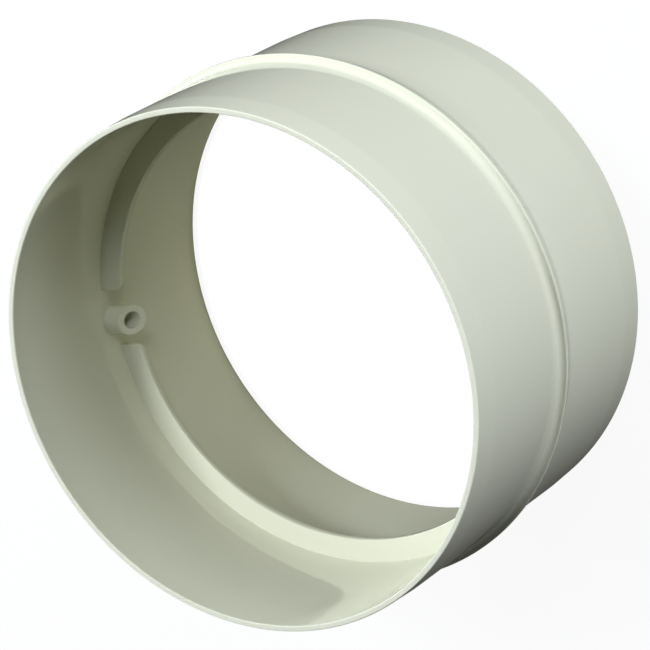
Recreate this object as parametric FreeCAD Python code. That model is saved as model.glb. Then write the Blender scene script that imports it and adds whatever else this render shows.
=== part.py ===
"""Straight round duct connector, moulded in one piece.

A thin sleeve open at both ends, with a stop bead round the middle of its outside and, inside,
a flap seat of two half-rings at different heights beside a pair of hollow pivot bosses.
The sleeve stands on one rim: origin on its axis at that rim, +Z up along the axis,
X along the pivot bosses, the higher half-ring on the +Y side.
"""
import FreeCAD, Part
import math
import os

from FreeCAD import Vector

# Sleeve, in millimetres: it slips inside ducts of 100 mm bore
length = 61.5
spigot_radius = 49.75
rim_radius = 49.5
lead_in_length = 6.0
bore_radius = 48.4
rim_edge_break = 0.25

# Stop bead: a steep face that a duct's end meets, and a slope behind it
bead_face_height = 31.8
bead_radius = 51.2
bead_land = 0.5
bead_slope_foot_height = 28.1
bead_foot_round = 1.0
bead_crest_break = 0.25
bead_slope_round = 2.0

# Flap seat: half-rings that a flap's two halves close against, from opposite sides
seat_bore_radius = 43.9
seat_thickness = 1.5
upper_seat_face_height = 32.7
lower_seat_face_height = 29.5
upper_seat_end = 6.8
lower_seat_end = 5.4
seat_end_round = 1.8
seat_edge_break = 0.25
seat_wall_overlap = 0.6

# Pivot bosses: hollow studs across the bore from each other, their ends sloped to lead a flap's pins in
boss_height = 30.4
boss_radius = 2.9
boss_end_radius = 43.6
boss_end_slope = 27.0
boss_wall_overlap = 0.6
boss_edge_break = 0.3
socket_radius = 1.6
socket_depth = 4.0

axis_point = Vector(0, 0, 0)
axis_direction = Vector(0, 0, 1)


class Corner:
    """One corner of the sleeve's section: its radius and height, and how far it is rounded or broken flat."""

    def __init__(self, radius, height, rounding=0.0, flat=0.0):
        self.point = Vector(radius, 0, height)
        self.rounding = rounding
        self.flat = flat

    def trim(self, before, after):
        """Give the points where the sides before and after this corner end, and the arc's middle if round."""
        to_before = (before - self.point).normalize()
        to_after = (after - self.point).normalize()
        half_angle = to_before.getAngle(to_after) / 2
        reach = self.flat
        middle = None
        if self.rounding > 0:
            reach = self.rounding / math.tan(half_angle)
            bisector = (to_before + to_after).normalize()
            middle = self.point + bisector * (self.rounding / math.sin(half_angle) - self.rounding)
        return self.point + to_before * reach, middle, self.point + to_after * reach


def section_wire(corners):
    """Join the corners of a section into a closed wire of lines and arcs."""
    count = len(corners)
    trims = []
    for index, corner in enumerate(corners):
        trims.append(corner.trim(corners[index - 1].point, corners[(index + 1) % count].point))
    edges = []
    for index, (start, middle, end) in enumerate(trims):
        if middle is not None:
            edges.append(Part.Arc(start, middle, end).toShape())
        elif start != end:
            edges.append(Part.LineSegment(start, end).toShape())
        edges.append(Part.LineSegment(end, trims[(index + 1) % count][0]).toShape())
    return Part.Wire(edges)


def sleeve():
    """Revolve the sleeve's section, with its lead-ins and stop bead, round the axis."""
    corners = [
        Corner(bore_radius, 0, flat=rim_edge_break),
        Corner(rim_radius, 0, flat=rim_edge_break),
        Corner(spigot_radius, lead_in_length),
        Corner(spigot_radius, bead_slope_foot_height, rounding=bead_slope_round),
        Corner(bead_radius, bead_face_height - bead_land),
        Corner(bead_radius, bead_face_height, flat=bead_crest_break),
        Corner(spigot_radius, bead_face_height, rounding=bead_foot_round),
        Corner(spigot_radius, length - lead_in_length),
        Corner(rim_radius, length, flat=rim_edge_break),
        Corner(bore_radius, length, flat=rim_edge_break),
    ]
    section = Part.Face(section_wire(corners))
    return section.revolve(axis_point, axis_direction, 360)


def seat_plan(end_offset, side):
    """Draw a half-ring from above: two arcs joined by straight ends, the inner corners rounded.

    The ends lie end_offset from the pivot line, and side is +1 or -1 along Y.
    """
    outer_radius = bore_radius + seat_wall_overlap
    outer_end_x = math.sqrt(outer_radius ** 2 - end_offset ** 2)
    # Each rounding circle touches the straight end and the inner arc from outside
    round_centre_y = end_offset + seat_end_round
    round_centre_radius = seat_bore_radius + seat_end_round
    round_centre_x = math.sqrt(round_centre_radius ** 2 - round_centre_y ** 2)
    touch_x = round_centre_x * seat_bore_radius / round_centre_radius
    touch_y = round_centre_y * seat_bore_radius / round_centre_radius
    toward_end_angle = -math.pi / 2
    toward_axis_angle = math.atan2(-round_centre_y, -round_centre_x) + 2 * math.pi
    middle_angle = (toward_end_angle + 2 * math.pi + toward_axis_angle) / 2
    middle_x = round_centre_x + seat_end_round * math.cos(middle_angle)
    middle_y = round_centre_y + seat_end_round * math.sin(middle_angle)

    def plan_point(x, y):
        return Vector(x, side * y, 0)

    edges = [
        Part.Arc(
            plan_point(outer_end_x, end_offset),
            plan_point(0, outer_radius),
            plan_point(-outer_end_x, end_offset),
        ),
        Part.LineSegment(plan_point(-outer_end_x, end_offset), plan_point(-round_centre_x, end_offset)),
        Part.Arc(
            plan_point(-round_centre_x, end_offset),
            plan_point(-middle_x, middle_y),
            plan_point(-touch_x, touch_y),
        ),
        Part.Arc(
            plan_point(-touch_x, touch_y),
            plan_point(0, seat_bore_radius),
            plan_point(touch_x, touch_y),
        ),
        Part.Arc(
            plan_point(touch_x, touch_y),
            plan_point(middle_x, middle_y),
            plan_point(round_centre_x, end_offset),
        ),
        Part.LineSegment(plan_point(round_centre_x, end_offset), plan_point(outer_end_x, end_offset)),
    ]
    return Part.Face(Part.Wire([edge.toShape() for edge in edges]))


def half_ring(face_height, end_offset, side):
    """Raise one half of the flap seat, with its free edges softened."""
    plan = seat_plan(end_offset, side)
    plan.translate(Vector(0, 0, face_height - seat_thickness))
    ring = plan.extrude(Vector(0, 0, seat_thickness))
    free_edges = []
    for edge in ring.Edges:
        ends = [vertex.Point for vertex in edge.Vertexes]
        level = abs(ends[0].z - ends[-1].z) < 1e-6
        clear_of_wall = all(math.hypot(end.x, end.y) < bore_radius for end in ends)
        if level and clear_of_wall:
            free_edges.append(edge)
    return ring.makeChamfer(seat_edge_break, free_edges)


def boss(side):
    """Make one hollow pivot boss on the pivot line, its root sunk in the sleeve's wall.

    Its end leans back towards the upper rim, so that a flap's pin slides down it into the socket.
    """
    root_radius = bore_radius + boss_wall_overlap
    outward = Vector(side, 0, 0)
    end_centre = Vector(side * boss_end_radius, 0, boss_height)
    # The blank and the wedge that slopes its end both run past the stud by its own width
    spare = 2 * boss_radius
    lean = spare * math.tan(math.radians(boss_end_slope))
    blank_start = end_centre - outward * spare
    stud = Part.makeCylinder(boss_radius, root_radius - boss_end_radius + spare, blank_start, outward)
    low = end_centre + Vector(0, -spare, -spare) - outward * lean
    high = end_centre + Vector(0, -spare, spare) + outward * lean
    wedge_corners = [low, high, high - outward * 2 * spare, low - outward * 2 * spare, low]
    wedge = Part.Face(Part.makePolygon(wedge_corners)).extrude(Vector(0, 2 * spare, 0))
    stud = stud.cut(wedge)
    end_rim = [edge for edge in stud.Edges if (edge.CenterOfMass - end_centre).Length < 1e-3]
    stud = stud.makeChamfer(boss_edge_break, end_rim)
    socket = Part.makeCylinder(socket_radius, socket_depth + spare, blank_start, outward)
    return stud.cut(socket)


def connector_body():
    """Join the sleeve, the flap seat and the bosses into the one moulding."""
    body = sleeve()
    features = [
        half_ring(upper_seat_face_height, upper_seat_end, 1),
        half_ring(lower_seat_face_height, lower_seat_end, -1),
        boss(1),
        boss(-1),
    ]
    body = body.fuse(features).removeSplitter()
    return body.Solids[0]


os.makedirs("parts", exist_ok=True)
moulding = connector_body()
moulding.exportStep("parts/connector_body.step")
print("connector_body volume mm3:", round(moulding.Volume, 1), "valid:", moulding.isValid())
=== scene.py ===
"""Looks of a straight round duct connector, moulded in one piece of pale ABS.

The sleeve stands on one rim: origin on its axis at that rim, +Z up along the axis, X along the
pivot bosses, the higher half-ring of the flap seat on the +Y side. Sizes of the object are in
millimetres until a mesh is made; everything in the scene itself is in metres.
"""
from __future__ import annotations

import logging
import math
from dataclasses import dataclass, field
from enum import Enum

import bmesh
import bpy
from mathutils import Matrix, Vector

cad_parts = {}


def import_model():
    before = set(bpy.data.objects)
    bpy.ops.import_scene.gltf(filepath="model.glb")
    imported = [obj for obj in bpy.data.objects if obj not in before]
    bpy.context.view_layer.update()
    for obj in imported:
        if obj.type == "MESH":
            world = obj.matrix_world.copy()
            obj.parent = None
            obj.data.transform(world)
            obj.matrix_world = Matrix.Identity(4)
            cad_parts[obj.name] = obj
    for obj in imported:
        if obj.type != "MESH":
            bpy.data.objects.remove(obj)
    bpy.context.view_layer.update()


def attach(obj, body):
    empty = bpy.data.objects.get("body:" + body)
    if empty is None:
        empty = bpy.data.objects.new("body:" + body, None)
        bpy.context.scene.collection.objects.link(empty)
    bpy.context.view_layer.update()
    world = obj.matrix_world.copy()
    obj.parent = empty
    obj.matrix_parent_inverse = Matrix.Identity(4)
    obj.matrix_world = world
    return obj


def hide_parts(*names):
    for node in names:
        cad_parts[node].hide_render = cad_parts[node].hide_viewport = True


LOG = logging.getLogger("duct_connector")
MILLIMETRE = 0.001
# Points closer than these are one: along a swept form's seam, and in a finished mesh
SEAM_GAP = 0.001 * MILLIMETRE
DOUBLES_GAP = 0.0005 * MILLIMETRE
CAD_NODE = "connector_body"
CAD_BODY = "root"

Point2 = tuple[float, float]
Point3 = tuple[float, float, float]
Colour = tuple[float, float, float, float]

WHITE: Colour = (1.0, 1.0, 1.0, 1.0)


def linear_colour(hex_colour: str) -> Colour:
    """Turn an sRGB hex colour into linear RGBA.

    Args:
        hex_colour: Colour as "#RRGGBB".

    Returns:
        Red, green, blue and a full alpha, linear, from 0 to 1.
    """
    channels = []
    for start in (1, 3, 5):
        value = int(hex_colour[start:start + 2], 16) / 255
        # The sRGB curve is straight near black and a power above that
        channels.append(value / 12.92 if value <= 0.04045 else ((value + 0.055) / 1.055) ** 2.4)
    return channels[0], channels[1], channels[2], 1.0


def add_node(
    tree: bpy.types.NodeTree,
    kind: str,
    settings: dict[str, object] | None = None,
    inputs: dict[str | int, object] | None = None,
) -> bpy.types.Node:
    """Add a node to a tree with its settings, values and incoming links.

    Args:
        tree: Shader or geometry tree that gets the node.
        kind: Blender's type name of the node.
        settings: Properties of the node, by name.
        inputs: Values, or output sockets to link from, by the name or number of the input.

    Returns:
        The new node.
    """
    node = tree.nodes.new(kind)
    for name, value in (settings or {}).items():
        setattr(node, name, value)
    for name, value in (inputs or {}).items():
        if isinstance(value, bpy.types.NodeSocket):
            tree.links.new(value, node.inputs[name])
        else:
            node.inputs[name].default_value = value
    return node


def link_object(name: str, data: bpy.types.ID) -> bpy.types.Object:
    """Make an object for some data at the scene's origin.

    Args:
        name: Name of the object.
        data: Mesh, lamp or camera that it shows.

    Returns:
        The new object, linked to the scene.
    """
    holder = bpy.data.objects.new(name, data)
    bpy.context.scene.collection.objects.link(holder)
    return holder


def baked_mesh(piece: bpy.types.Object) -> bpy.types.Mesh:
    """Turn a piece and its modifiers into a plain mesh, and take the modifiers off.

    Args:
        piece: Mesh object with modifiers.

    Returns:
        The new mesh, which the object now holds, with its doubles merged and its faces outwards.
    """
    depsgraph = bpy.context.evaluated_depsgraph_get()
    mesh = bpy.data.meshes.new_from_object(piece.evaluated_get(depsgraph), depsgraph=depsgraph)
    piece.modifiers.clear()
    piece.data = mesh
    shell = bmesh.new()
    shell.from_mesh(mesh)
    bmesh.ops.remove_doubles(shell, verts=shell.verts, dist=DOUBLES_GAP)
    bmesh.ops.recalc_face_normals(shell, faces=shell.faces)
    shell.to_mesh(mesh)
    shell.free()
    return mesh


@dataclass(frozen=True)
class Corner:
    """One corner of a section outline, in millimetres, and the radius it is rounded to."""

    radius: float
    height: float
    rounding: float = 0.0

    @property
    def point(self) -> Vector:
        """The corner's place as radius and height."""
        return Vector((self.radius, self.height))


@dataclass(frozen=True)
class SectionOutline:
    """A section drawn beside the axis that it is turned round: corners joined by straight sides.

    A side longer than the held length gets a point near each of its ends, a hold away from it, so that
    smooth shading keeps the side flat between them.
    """

    corners: tuple[Corner, ...]
    closed: bool = True
    arc_step_degrees: float = 11.25
    fewest_arc_steps: int = 2
    hold: float = 0.35
    held_length: float = 1.4

    def _corner_points(self, index: int) -> list[Vector]:
        """Points that stand for one corner: the corner itself, or the arc that rounds it.

        Args:
            index: Place of the corner in the outline.

        Returns:
            The points in order, as radius and height.
        """
        corner = self.corners[index]
        here = corner.point
        if corner.rounding <= 0:
            return [here]
        to_before = (self.corners[index - 1].point - here).normalized()
        to_after = (self.corners[(index + 1) % len(self.corners)].point - here).normalized()
        half_angle = to_before.angle(to_after) / 2
        centre = here + (to_before + to_after).normalized() * corner.rounding / math.sin(half_angle)
        spoke = here + to_before * corner.rounding / math.tan(half_angle) - centre
        swing = math.pi - 2 * half_angle
        if to_before.cross(to_after) > 0:
            swing = -swing
        steps = math.ceil(abs(math.degrees(swing)) / self.arc_step_degrees)
        steps = max(self.fewest_arc_steps, steps)
        return [centre + Matrix.Rotation(swing * step / steps, 2) @ spoke for step in range(steps + 1)]

    def points(self) -> list[Point2]:
        """Draw the outline, with points that hold each long side flat next to its rounded ends.

        Returns:
            Radius and height of each point, in millimetres, in order.
        """
        count = len(self.corners)
        groups = [self._corner_points(index) for index in range(count)]
        outline: list[Point2] = []
        for index, group in enumerate(groups):
            outline += [tuple(point) for point in group]
            if not self.closed and index == count - 1:
                break
            side_start, side_end = group[-1], groups[(index + 1) % count][0]
            side = side_end - side_start
            if side.length > self.held_length:
                reach = side.normalized() * self.hold
                outline += [tuple(side_start + reach), tuple(side_end - reach)]
        return outline


class ShapeRule(Enum):
    """The two rules by which the moulding's forms follow from an outline."""

    TURNED = "Turned section"
    RAISED = "Raised plan"

    def tree(self) -> bpy.types.NodeTree:
        """Build the rule as a geometry tree, or find it if it is built already.

        Returns:
            The tree, with an outline, a material and the rule's own sizes as inputs.
        """
        found = bpy.data.node_groups.get(self.value)
        if found:
            return found
        tree = bpy.data.node_groups.new(self.value, "GeometryNodeTree")
        sizes = {
            ShapeRule.TURNED: {"Path radius": "NodeSocketFloat", "Segments": "NodeSocketInt"},
            ShapeRule.RAISED: {"Thickness": "NodeSocketFloat"},
        }[self]
        sockets = {"Outline": "NodeSocketGeometry", **sizes, "Material": "NodeSocketMaterial"}
        for name, kind in sockets.items():
            tree.interface.new_socket(name, in_out="INPUT", socket_type=kind)
        tree.interface.new_socket("Shape", in_out="OUTPUT", socket_type="NodeSocketGeometry")
        given = add_node(tree, "NodeGroupInput").outputs
        drawn = add_node(tree, "GeometryNodeMeshToCurve", inputs={"Mesh": given["Outline"]})
        form = self._turned if self is ShapeRule.TURNED else self._raised
        raw = form(tree, given, drawn.outputs["Curve"])
        whole = add_node(
            tree, "GeometryNodeMergeByDistance", inputs={"Geometry": raw, "Distance": SEAM_GAP}
        )
        real = add_node(
            tree, "GeometryNodeRealizeInstances", inputs={"Geometry": whole.outputs["Geometry"]}
        )
        dressed = add_node(
            tree,
            "GeometryNodeSetMaterial",
            inputs={"Geometry": real.outputs["Geometry"], "Material": given["Material"]},
        )
        add_node(tree, "NodeGroupOutput", inputs={"Shape": dressed.outputs["Geometry"]})
        return tree

    @staticmethod
    def _turned(
        tree: bpy.types.NodeTree, given: bpy.types.NodeOutputs, curve: bpy.types.NodeSocket
    ) -> bpy.types.NodeSocket:
        """Carry the outline round a circle about Z.

        Args:
            tree: Tree that gets the nodes.
            given: Outputs of the tree's input node.
            curve: The outline as a curve.

        Returns:
            Socket with the turned surface.
        """
        circle = add_node(
            tree,
            "GeometryNodeCurvePrimitiveCircle",
            {"mode": "RADIUS"},
            {"Resolution": given["Segments"], "Radius": given["Path radius"]},
        )
        upright = add_node(
            tree, "GeometryNodeSetCurveNormal", {"mode": "Z_UP"}, {"Curve": circle.outputs["Curve"]}
        )
        swept = add_node(
            tree,
            "GeometryNodeCurveToMesh",
            inputs={"Curve": upright.outputs["Curve"], "Profile Curve": curve},
        )
        return swept.outputs["Mesh"]

    @staticmethod
    def _raised(
        tree: bpy.types.NodeTree, given: bpy.types.NodeOutputs, curve: bpy.types.NodeSocket
    ) -> bpy.types.NodeSocket:
        """Fill the outline and raise it along Z into a plate with both its faces.

        Args:
            tree: Tree that gets the nodes.
            given: Outputs of the tree's input node.
            curve: The outline as a curve.

        Returns:
            Socket with the plate's surface.
        """
        filled = add_node(tree, "GeometryNodeFillCurve", {"mode": "NGONS"}, {"Curve": curve})
        plan = filled.outputs["Mesh"]
        top = add_node(
            tree,
            "GeometryNodeExtrudeMesh",
            {"mode": "FACES"},
            {
                "Mesh": plan,
                "Offset": (0, 0, 1),
                "Offset Scale": given["Thickness"],
                "Individual": False,
            },
        )
        both = add_node(tree, "GeometryNodeJoinGeometry", inputs={"Geometry": plan})
        tree.links.new(top.outputs["Mesh"], both.inputs["Geometry"])
        return both.outputs["Geometry"]

    def shape(
        self,
        name: str,
        outline: list[Point3],
        closed: bool,
        sizes: dict[str, float | int],
        material: bpy.types.Material,
    ) -> bpy.types.Object:
        """Run the rule on an outline and keep the result as a plain mesh.

        Args:
            name: Name of the new object.
            outline: Points of the outline in metres, as the rule reads them.
            closed: True where the last point joins the first.
            sizes: Values of the rule's own inputs, by name.
            material: Finish of the result.

        Returns:
            The new object.
        """
        count = len(outline)
        edges = [(index, (index + 1) % count) for index in range(count if closed else count - 1)]
        wire = bpy.data.meshes.new(name)
        wire.from_pydata(outline, edges, [])
        piece = link_object(name, wire)
        modifier = piece.modifiers.new(self.value, "NODES")
        tree = self.tree()
        modifier.node_group = tree
        values = {**sizes, "Material": material}
        for socket in tree.interface.items_tree:
            if socket.in_out == "INPUT" and socket.name in values:
                modifier[socket.identifier] = values[socket.name]
        baked_mesh(piece)
        return piece


def turned_shape(
    name: str, section: SectionOutline, segments: int, material: bpy.types.Material
) -> bpy.types.Object:
    """Turn a section round Z.

    Args:
        name: Name of the new object.
        section: Outline beside the axis.
        segments: Flats round the circle.
        material: Finish of the result.

    Returns:
        The turned object, in metres.
    """
    path_radius = max(corner.radius for corner in section.corners)
    # The swept profile's x runs outwards from the path and its y runs down
    outline = [
        ((radius - path_radius) * MILLIMETRE, -height * MILLIMETRE, 0.0)
        for radius, height in section.points()
    ]
    sizes = {"Path radius": path_radius * MILLIMETRE, "Segments": segments}
    return ShapeRule.TURNED.shape(name, outline, section.closed, sizes, material)


@dataclass(frozen=True)
class MouldedAbs:
    """Moulded ABS: opaque ivory with a green-grey cast, a clear gloss off a polished steel mould.

    The eye sees one even colour, and at low angles the skin mirrors what stands beside it. Close to,
    the gloss wavers a little where the melt cooled unevenly, and the skin has a faint ripple that
    breaks up the reflections. Widths and heights are in millimetres.
    """

    name: str = "moulded_abs_ivory"
    body: str = "#E5E5CF"
    flow_streak: str = "#E1E1C9"
    roughness_low: float = 0.05
    roughness_high: float = 0.07
    refraction: float = 1.57
    flow_width: float = 34.0
    flow_detail: float = 3.0
    flow_coarseness: float = 0.45
    gloss_patch: float = 9.0
    gloss_detail: float = 2.0
    gloss_noise_low: float = 0.3
    gloss_noise_high: float = 0.7
    # A real skin ripple is about 0.5 mm wide; it is drawn four times as coarse so that it shows
    ripple_width: float = 2.0
    ripple_detail: float = 1.0
    ripple_height: float = 0.004

    def material(self) -> bpy.types.Material:
        """Build the finish as a node material on Object coordinates.

        Returns:
            The new material.
        """
        material = bpy.data.materials.new(self.name)
        material.use_nodes = True
        tree = material.node_tree
        tree.nodes.clear()
        place = add_node(tree, "ShaderNodeTexCoord").outputs["Object"]
        per_metre = 1 / MILLIMETRE
        flow = add_node(
            tree,
            "ShaderNodeTexNoise",
            inputs={
                "Vector": place,
                "Scale": per_metre / self.flow_width,
                "Detail": self.flow_detail,
                "Roughness": self.flow_coarseness,
            },
        )
        # Inputs 6 and 7 of a colour mix are its two colours, and output 2 the mixed one
        colour = add_node(
            tree,
            "ShaderNodeMix",
            {"data_type": "RGBA"},
            {0: flow.outputs["Fac"], 6: linear_colour(self.body), 7: linear_colour(self.flow_streak)},
        )
        gloss = add_node(
            tree,
            "ShaderNodeTexNoise",
            inputs={
                "Vector": place,
                "Scale": per_metre / self.gloss_patch,
                "Detail": self.gloss_detail,
            },
        )
        roughness = add_node(
            tree,
            "ShaderNodeMapRange",
            inputs={
                "Value": gloss.outputs["Fac"],
                "From Min": self.gloss_noise_low,
                "From Max": self.gloss_noise_high,
                "To Min": self.roughness_low,
                "To Max": self.roughness_high,
            },
        )
        ripple = add_node(
            tree,
            "ShaderNodeTexNoise",
            inputs={
                "Vector": place,
                "Scale": per_metre / self.ripple_width,
                "Detail": self.ripple_detail,
            },
        )
        skin = add_node(
            tree,
            "ShaderNodeBump",
            inputs={
                "Height": ripple.outputs["Fac"],
                "Distance": self.ripple_height * MILLIMETRE,
                "Strength": 1.0,
            },
        )
        shader = add_node(
            tree,
            "ShaderNodeBsdfPrincipled",
            inputs={
                "Base Color": colour.outputs[2],
                "Roughness": roughness.outputs["Result"],
                "IOR": self.refraction,
                "Normal": skin.outputs["Normal"],
            },
        )
        add_node(tree, "ShaderNodeOutputMaterial", inputs={"Surface": shader.outputs["BSDF"]})
        return material


@dataclass(frozen=True)
class Sleeve:
    """The open sleeve with its two tapered lead-ins and the stop bead round its middle."""

    length: float = 61.5
    spigot_radius: float = 49.75
    rim_radius: float = 49.5
    lead_in_length: float = 6.0
    bore_radius: float = 48.4
    rim_edge_round: float = 0.25
    bead_face_height: float = 31.8
    bead_radius: float = 51.2
    bead_land: float = 0.5
    bead_slope_foot_height: float = 28.1
    bead_foot_round: float = 1.0
    bead_crest_round: float = 0.25
    bead_slope_round: float = 2.0
    segments: int = 360

    def section(self) -> SectionOutline:
        """The sleeve's section, from the standing rim's inside edge outwards and up."""
        return SectionOutline((
            Corner(self.bore_radius, 0, self.rim_edge_round),
            Corner(self.rim_radius, 0, self.rim_edge_round),
            Corner(self.spigot_radius, self.lead_in_length),
            Corner(self.spigot_radius, self.bead_slope_foot_height, self.bead_slope_round),
            Corner(self.bead_radius, self.bead_face_height - self.bead_land),
            Corner(self.bead_radius, self.bead_face_height, self.bead_crest_round),
            Corner(self.spigot_radius, self.bead_face_height, self.bead_foot_round),
            Corner(self.spigot_radius, self.length - self.lead_in_length),
            Corner(self.rim_radius, self.length, self.rim_edge_round),
            Corner(self.bore_radius, self.length, self.rim_edge_round),
        ))

    def build(self, material: bpy.types.Material) -> bpy.types.Object:
        """Turn the sleeve's section into a closed shell."""
        return turned_shape("sleeve", self.section(), self.segments, material)


@dataclass(frozen=True)
class HalfRing:
    """One half of the flap seat: a flat half-ring that stands out from the sleeve's inside wall."""

    name: str
    face_height: float
    end_offset: float
    side: int
    bore_radius: float = 43.9
    root_radius: float = 49.0
    thickness: float = 1.5
    end_round: float = 1.8
    edge_round: float = 0.25
    softened_from_degrees: float = 40.0
    arc_steps: int = 150
    end_steps: int = 8
    edge_steps: int = 3

    @staticmethod
    def _arc(centre: Point2, radius: float, start: float, end: float, steps: int) -> list[Point2]:
        """Points along an arc, both its ends among them.

        Args:
            centre: Middle of the circle, in millimetres.
            radius: Radius of the circle, in millimetres.
            start: Angle of the first point, in radians.
            end: Angle of the last point, in radians.
            steps: Straight runs that the arc is drawn in.

        Returns:
            The points in order.
        """
        angles = [start + (end - start) * step / steps for step in range(steps + 1)]
        return [(centre[0] + radius * math.cos(a), centre[1] + radius * math.sin(a)) for a in angles]

    def plan(self) -> list[Point2]:
        """Draw the half-ring from above, on the +Y side, as a closed loop.

        Returns:
            The loop's points in millimetres, without a repeated last point.
        """
        root_end = math.asin(self.end_offset / self.root_radius)
        round_y = self.end_offset + self.end_round
        round_x = math.sqrt((self.bore_radius + self.end_round) ** 2 - round_y ** 2)
        inner_end = math.atan2(round_y, round_x)
        outer = self._arc((0, 0), self.root_radius, root_end, math.pi - root_end, self.arc_steps)
        left = self._arc((-round_x, round_y), self.end_round, -math.pi / 2, -inner_end, self.end_steps)
        inner = self._arc((0, 0), self.bore_radius, math.pi - inner_end, inner_end, self.arc_steps)
        right = self._arc(
            (round_x, round_y), self.end_round, math.pi + inner_end, 3 * math.pi / 2, self.end_steps
        )
        return outer + left[:-1] + inner + right[1:]

    def build(self, material: bpy.types.Material) -> bpy.types.Object:
        """Raise the plan into a plate with softened edges.

        Args:
            material: Finish of the plate.

        Returns:
            The half-ring at its height in the sleeve.
        """
        outline = [(x * MILLIMETRE, self.side * y * MILLIMETRE, 0.0) for x, y in self.plan()]
        sizes = {"Thickness": self.thickness * MILLIMETRE}
        ring = ShapeRule.RAISED.shape(self.name, outline, True, sizes, material)
        bevel = ring.modifiers.new("softened edges", "BEVEL")
        bevel.width = self.edge_round * MILLIMETRE
        bevel.segments = self.edge_steps
        bevel.limit_method = "ANGLE"
        bevel.angle_limit = math.radians(self.softened_from_degrees)
        underside = (self.face_height - self.thickness) * MILLIMETRE
        baked_mesh(ring).transform(Matrix.Translation((0, 0, underside)))
        return ring


@dataclass(frozen=True)
class PivotBoss:
    """A hollow stud on the pivot line, its root sunk in the sleeve's wall and its free end sloped."""

    name: str
    side: int
    height: float = 30.4
    radius: float = 2.9
    end_radius: float = 43.6
    end_slope_degrees: float = 27.0
    root_radius: float = 49.0
    edge_round: float = 0.3
    socket_radius: float = 1.6
    socket_depth: float = 4.0
    mouth_round: float = 0.15
    segments: int = 64

    def section(self) -> SectionOutline:
        """The boss's section from its socket's floor to its root, heights from its free end."""
        root = self.root_radius - self.end_radius
        return SectionOutline(
            (
                Corner(0, self.socket_depth),
                Corner(self.socket_radius, self.socket_depth),
                Corner(self.socket_radius, 0, self.mouth_round),
                Corner(self.radius, 0, self.edge_round),
                Corner(self.radius, root),
                Corner(0, root),
            ),
            closed=False,
        )

    def _slope_end(self, mesh: bpy.types.Mesh) -> None:
        """Lean the free end back on the side that will face the upper rim.

        Args:
            mesh: The turned boss, still upright with its free end down.
        """
        lean = self.side * math.tan(math.radians(self.end_slope_degrees))
        # The free end's points are those nearer to it than half the socket's depth
        for vertex in mesh.vertices:
            if vertex.co.z < self.socket_depth * MILLIMETRE / 2:
                vertex.co.z -= vertex.co.x * lean

    def build(self, material: bpy.types.Material) -> bpy.types.Object:
        """Turn the boss, slope its end and lay it along the pivot line.

        Args:
            material: Finish of the boss.

        Returns:
            The boss in its place in the sleeve.
        """
        boss = turned_shape(self.name, self.section(), self.segments, material)
        self._slope_end(boss.data)
        end = Vector((self.side * self.end_radius, 0, self.height)) * MILLIMETRE
        boss.data.transform(Matrix.Translation(end) @ Matrix.Rotation(self.side * math.pi / 2, 4, "Y"))
        return boss


@dataclass
class DuctConnector:
    """The whole moulding: the sleeve with the flap seat and the pivot bosses grown into its wall."""

    sleeve: Sleeve = field(default_factory=Sleeve)
    finish: MouldedAbs = field(default_factory=MouldedAbs)
    seat: tuple[HalfRing, ...] = (
        HalfRing("upper_half_ring", face_height=32.7, end_offset=6.8, side=1),
        HalfRing("lower_half_ring", face_height=29.5, end_offset=5.4, side=-1),
    )
    bosses: tuple[PivotBoss, ...] = (
        PivotBoss("left_boss", side=-1),
        PivotBoss("right_boss", side=1),
    )
    name: str = "moulded_connector"
    sharp_edge_degrees: float = 35.0

    def build(self) -> bpy.types.Object:
        """Join the forms into one closed skin and dress it.

        Returns:
            The finished moulding, riding on the CAD body.
        """
        material = self.finish.material()
        body = self.sleeve.build(material)
        body.name = self.name
        grown = [form.build(material) for form in (*self.seat, *self.bosses)]
        for form in grown:
            union = body.modifiers.new(form.name, "BOOLEAN")
            union.operation = "UNION"
            union.solver = "EXACT"
            union.object = form
        mesh = baked_mesh(body)
        for form in grown:
            bpy.data.objects.remove(form)
        mesh.name = self.name
        mesh.shade_smooth()
        mesh.set_sharp_from_angle(angle=math.radians(self.sharp_edge_degrees))
        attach(body, CAD_BODY)
        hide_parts(CAD_NODE)
        LOG.info("%s: %d faces, %d open edges", body.name, len(mesh.polygons), self.open_edges(mesh))
        return body

    @staticmethod
    def open_edges(mesh: bpy.types.Mesh) -> int:
        """Count the edges that do not join exactly two faces."""
        shell = bmesh.new()
        shell.from_mesh(mesh)
        count = sum(1 for edge in shell.edges if len(edge.link_faces) != 2)
        shell.free()
        return count


class LampRole(Enum):
    """What each lamp does for the object."""

    KEY = "key"
    SIDE = "side"
    LOW = "low"
    FILL = "fill"
    BACK = "back"
    FRONT = "front"


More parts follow.
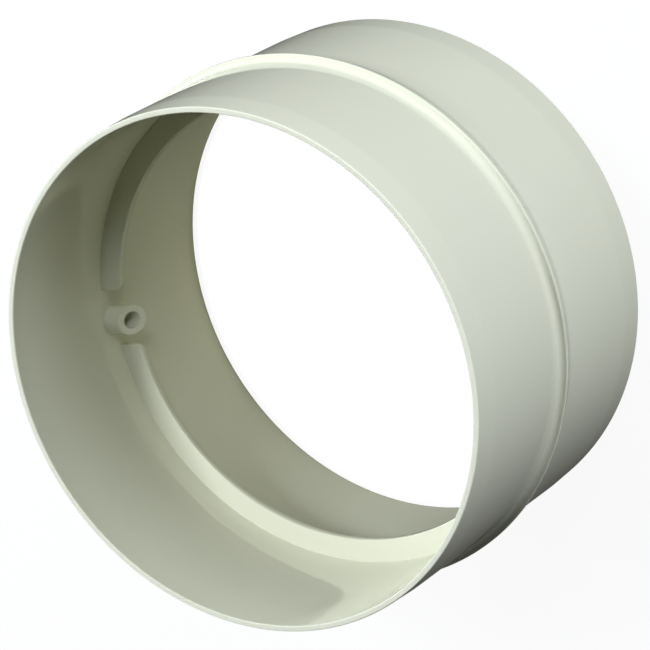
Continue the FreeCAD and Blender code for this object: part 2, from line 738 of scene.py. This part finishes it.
@dataclass(frozen=True)
class Lamp:
    """A flat soft lamp, aimed at the object's middle.

    Its level is how bright a white card at the object's middle, turned to face it, would be: 1 is white.
    Only a mirrored lamp shows as an image in the gloss.
    """

    role: LampRole
    azimuth: float
    elevation: float
    level: float
    width: float
    height: float
    distance: float = 1.2
    colour: str = "#EEF4FF"
    mirrored: bool = False

    def place(self, target: Vector) -> bpy.types.Object:
        """Hang the lamp in the scene.

        Args:
            target: Point that it is aimed at, in metres.

        Returns:
            The lamp's object.
        """
        light = bpy.data.lights.new(f"{self.role.value}_lamp", "AREA")
        light.shape = "RECTANGLE"
        light.size = self.width
        light.size_y = self.height
        # A lamp of P watts gives a card at distance d an irradiance of P / (pi d^2)
        light.energy = self.level * (math.pi * self.distance) ** 2
        light.color = linear_colour(self.colour)[:3]
        lamp = link_object(light.name, light)
        lamp.visible_glossy = self.mirrored
        azimuth, elevation = math.radians(self.azimuth), math.radians(self.elevation)
        towards = Vector((
            math.cos(elevation) * math.cos(azimuth),
            math.cos(elevation) * math.sin(azimuth),
            math.sin(elevation),
        ))
        lamp.location = target + towards * self.distance
        lamp.rotation_euler = towards.to_track_quat("Z", "Y").to_euler()
        return lamp


def brightness_by_ray(
    tree: bpy.types.NodeTree, mirrored: float, thrown: float = 0.0
) -> bpy.types.NodeSocket:
    """Tell the rays that show a surface from those that only carry its light.

    Args:
        tree: Shader tree that gets the nodes.
        mirrored: Brightness in mirroring and clear surfaces, where 1 is the white that the camera sees.
        thrown: Brightness to the rays that carry light on to matt surfaces.

    Returns:
        Socket with the brightness: 1 for camera rays, else one of the two.
    """
    path = add_node(tree, "ShaderNodeLightPath").outputs
    second_hand = add_node(
        tree,
        "ShaderNodeMath",
        {"operation": "MAXIMUM"},
        {0: path["Is Glossy Ray"], 1: path["Is Transmission Ray"]},
    )
    # Inputs 2 and 3 of a plain mix are the values at its two ends
    unseen = add_node(
        tree, "ShaderNodeMix", inputs={0: second_hand.outputs[0], 2: thrown, 3: mirrored}
    )
    either = add_node(
        tree, "ShaderNodeMix", inputs={0: path["Is Camera Ray"], 2: unseen.outputs[0], 3: 1.0}
    )
    return either.outputs[0]


@dataclass(frozen=True)
class Paper:
    """A round sheet of white paper on a dark table.

    It shows white to the camera, and throws on the object only the light that is stated. With a glow
    share below 1, the rest of it takes the object's shadow.
    """

    name: str
    radius: float
    height: float
    centre: Point2 = (0.0, 0.0)
    thrown_light: float = 0.0
    thrown_colour: str = "#FFFFEC"
    glow_share: float = 1.0
    mirrored: float = 0.0
    paper: str = "#F4F4F4"
    table: str = "#3C3C3C"
    segments: int = 96

    def material(self) -> bpy.types.Material:
        """Build the paper's finish.

        Returns:
            The new material.
        """
        material = bpy.data.materials.new(self.name)
        material.use_nodes = True
        tree = material.node_tree
        tree.nodes.clear()
        seen = add_node(tree, "ShaderNodeLightPath").outputs["Is Camera Ray"]
        colour = add_node(
            tree,
            "ShaderNodeMix",
            {"data_type": "RGBA"},
            {0: seen, 6: linear_colour(self.table), 7: linear_colour(self.paper)},
        )
        matt = add_node(tree, "ShaderNodeBsdfDiffuse", inputs={"Color": colour.outputs[2]})
        glow_colour = add_node(
            tree,
            "ShaderNodeMix",
            {"data_type": "RGBA"},
            {0: seen, 6: linear_colour(self.thrown_colour), 7: WHITE},
        )
        strength = brightness_by_ray(tree, self.mirrored, self.thrown_light)
        glow = add_node(
            tree, "ShaderNodeEmission", inputs={"Color": glow_colour.outputs[2], "Strength": strength}
        )
        mixed = add_node(
            tree,
            "ShaderNodeMixShader",
            inputs={0: self.glow_share, 1: matt.outputs[0], 2: glow.outputs[0]},
        )
        add_node(tree, "ShaderNodeOutputMaterial", inputs={"Surface": mixed.outputs[0]})
        return material

    def build(self) -> bpy.types.Object:
        """Lay the paper under the object.

        Returns:
            The paper's object.
        """
        mesh = bpy.data.meshes.new(self.name)
        disc = bmesh.new()
        bmesh.ops.create_circle(disc, cap_ends=True, radius=self.radius, segments=self.segments)
        bmesh.ops.translate(disc, vec=(*self.centre, self.height), verts=disc.verts)
        disc.to_mesh(mesh)
        disc.free()
        mesh.materials.append(self.material())
        sheet = link_object(self.name, mesh)
        return sheet


@dataclass(frozen=True)
class StudioCamera:
    """The camera at the photograph's viewing angle: a long lens, tipped on its side."""

    location: Point3 = (0.38269, 0.18614, 0.59678)
    right: Point3 = (0.84159, -0.16947, -0.51284)
    up: Point3 = (0.0, 0.94950, -0.31376)
    lens: float = 212.0
    sensor: float = 36.0
    nearest: float = 0.01
    farthest: float = 20.0

    def place(self) -> bpy.types.Object:
        """Set the camera up and make it the scene's own.

        Returns:
            The camera's object.
        """
        data = bpy.data.cameras.new("studio_camera")
        data.lens = self.lens
        data.sensor_width = self.sensor
        data.sensor_fit = "HORIZONTAL"
        data.clip_start = self.nearest
        data.clip_end = self.farthest
        camera = link_object("studio_camera", data)
        right, up = Vector(self.right).normalized(), Vector(self.up).normalized()
        back = right.cross(up).normalized()
        up = back.cross(right)
        turn = Matrix((right, up, back)).transposed()
        camera.matrix_world = Matrix.Translation(self.location) @ turn.to_4x4()
        bpy.context.scene.camera = camera
        return camera


@dataclass(frozen=True)
class Studio:
    """The white floor and room, the lit sheets inside the sleeve, the soft lamps and the camera."""

    floor: Paper = Paper("paper_floor", radius=2.0, height=-0.0002, glow_share=0.93, mirrored=0.1)
    # Light that enters the real sleeve from behind comes from three glowing sheets inside it, which are
    # no lamps:
    # a faint glowing edge, a middle that throws no light as painted shade, and a bright glowing patch to
    # one side.
    # None is mirrored, as the real wall mirrors a dark room
    sheets: tuple[Paper, ...] = (
        Paper("lit_edge", radius=0.0475, height=-0.0001, thrown_light=0.34),
        # Throws no light at all: painted shade over the middle of the glowing edge
        Paper("shaded_middle", radius=0.038, height=-0.00008),
        Paper(
            "lit_side", radius=0.022, height=-0.00005, centre=(-0.0245, -0.0052), thrown_light=0.56
        ),
    )
    camera: StudioCamera = StudioCamera()
    lamps: tuple[Lamp, ...] = (
        Lamp(LampRole.KEY, azimuth=120.0, elevation=63.0, level=0.84, width=0.36, height=0.16),
        Lamp(LampRole.SIDE, azimuth=30.0, elevation=0.0, level=0.655, width=0.45, height=0.05),
        Lamp(LampRole.LOW, azimuth=26.0, elevation=9.0, level=0.2, width=0.6, height=0.2),
        Lamp(LampRole.FILL, azimuth=59.0, elevation=40.0, level=0.28, width=0.3, height=0.5),
        Lamp(
            LampRole.BACK, azimuth=165.0, elevation=30.0, level=0.45, width=0.8, height=0.4, mirrored=True
        ),
        # Lights the sides that the photograph doesn't show, from below the rim so that none gets inside
        Lamp(LampRole.FRONT, azimuth=216.0, elevation=0.0, level=0.8, width=0.45, height=0.05),
    )
    target: Point3 = (0.0, 0.0, 0.03)
    room_mirrored: float = 0.1

    def build_room(self) -> None:
        """Give the world a white backdrop that throws no light on the object."""
        world = bpy.data.worlds.new("studio_room")
        bpy.context.scene.world = world
        world.use_nodes = True
        tree = world.node_tree
        tree.nodes.clear()
        strength = brightness_by_ray(tree, self.room_mirrored)
        backdrop = add_node(
            tree, "ShaderNodeBackground", inputs={"Color": WHITE, "Strength": strength}
        )
        add_node(tree, "ShaderNodeOutputWorld", inputs={"Surface": backdrop.outputs["Background"]})

    def build(self) -> None:
        """Set up the whole studio."""
        self.build_room()
        for sheet in (self.floor, *self.sheets):
            sheet.build()
        for lamp in self.lamps:
            lamp.place(Vector(self.target))
        self.camera.place()
        bpy.context.scene.view_settings.view_transform = "Standard"


def main() -> None:
    """Load the frame, and build the object and its studio."""
    logging.basicConfig(level=logging.INFO, format="%(name)s: %(message)s")
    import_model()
    DuctConnector().build()
    Studio().build()


if __name__ == "__main__":
    main()
